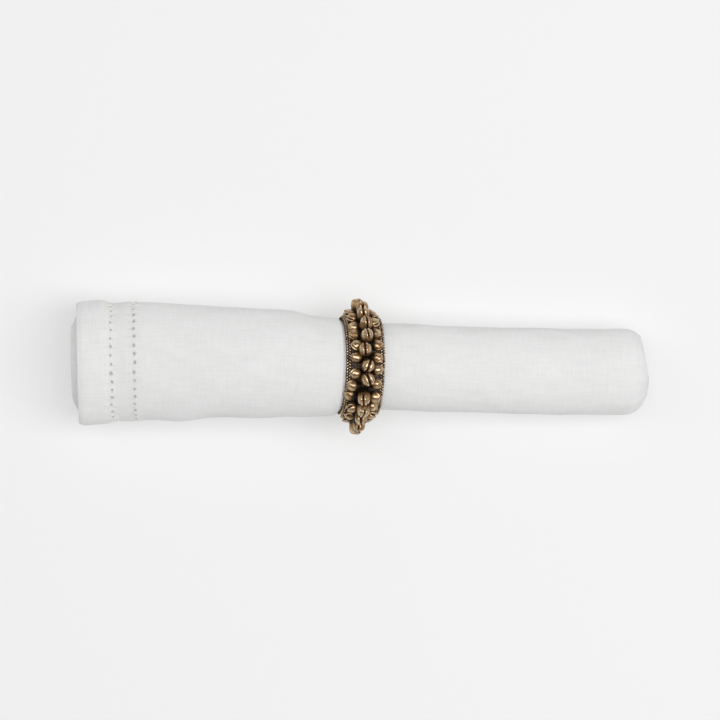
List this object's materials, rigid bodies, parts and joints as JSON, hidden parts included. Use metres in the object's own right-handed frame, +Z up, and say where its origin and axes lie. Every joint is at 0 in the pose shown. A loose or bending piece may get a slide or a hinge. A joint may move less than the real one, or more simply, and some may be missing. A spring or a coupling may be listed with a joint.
{
  "type": "cocktail napkin in a beaded ring",
  "caption": "White hemstitched cotton napkin, folded, rolled up and held by an antique brass napkin ring set all round with small bell beads.",
  "frame": {"origin": "on the table, under the middle of the whole", "axes": "+X along the roll, from its open hemmed end to its folded end; +Z up from the table"},
  "size_m": [0.2572, 0.06, 0.0599],
  "materials": {
    "cotton": "plain woven white cotton, matt",
    "dark_weave": "dark woven band with metal thread",
    "rim_beads": "dark antique brass seed beads",
    "bell_brass": "antique brass, polished on the high spots"
  },
  "bodies": {
    "root": {"napkin": "cotton", "ring_band": "dark_weave", "ring_rim_open_side": "rim_beads", "ring_rim_fold_side": "rim_beads", "bells_centre": "bell_brass", "bells_open_side": "bell_brass", "bells_fold_side": "bell_brass"}
  },
  "joints": []
}
